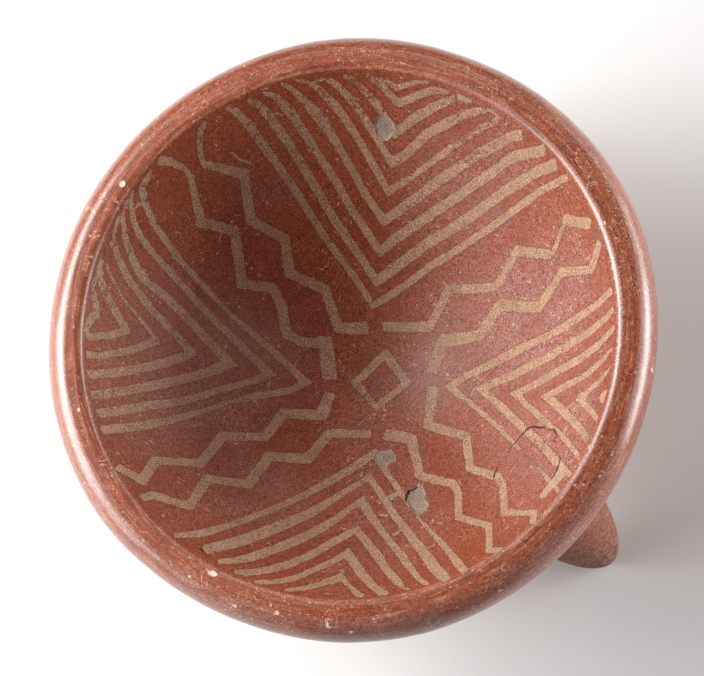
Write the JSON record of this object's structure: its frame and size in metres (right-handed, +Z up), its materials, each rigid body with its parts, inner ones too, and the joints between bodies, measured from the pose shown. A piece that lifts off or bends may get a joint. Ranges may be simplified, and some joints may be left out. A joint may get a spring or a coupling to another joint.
{
  "type": "tripod bowl",
  "caption": "Deep fired-clay bowl with a rolled lip, painted zigzags and chevrons inside, standing on splayed bullet-shaped legs.",
  "frame": {"origin": "on the floor under the middle of the bowl, between the feet", "axes": "+Z up through the mouth; one leg points to -Y and the other two lie at 120 degrees either side of it"},
  "size_m": [0.2596, 0.26, 0.1383],
  "materials": {
    "burnished_clay": "burnished red slip with a painted buff pattern inside"
  },
  "bodies": {
    "root": {"tripod_bowl": "burnished_clay"}
  },
  "joints": []
}
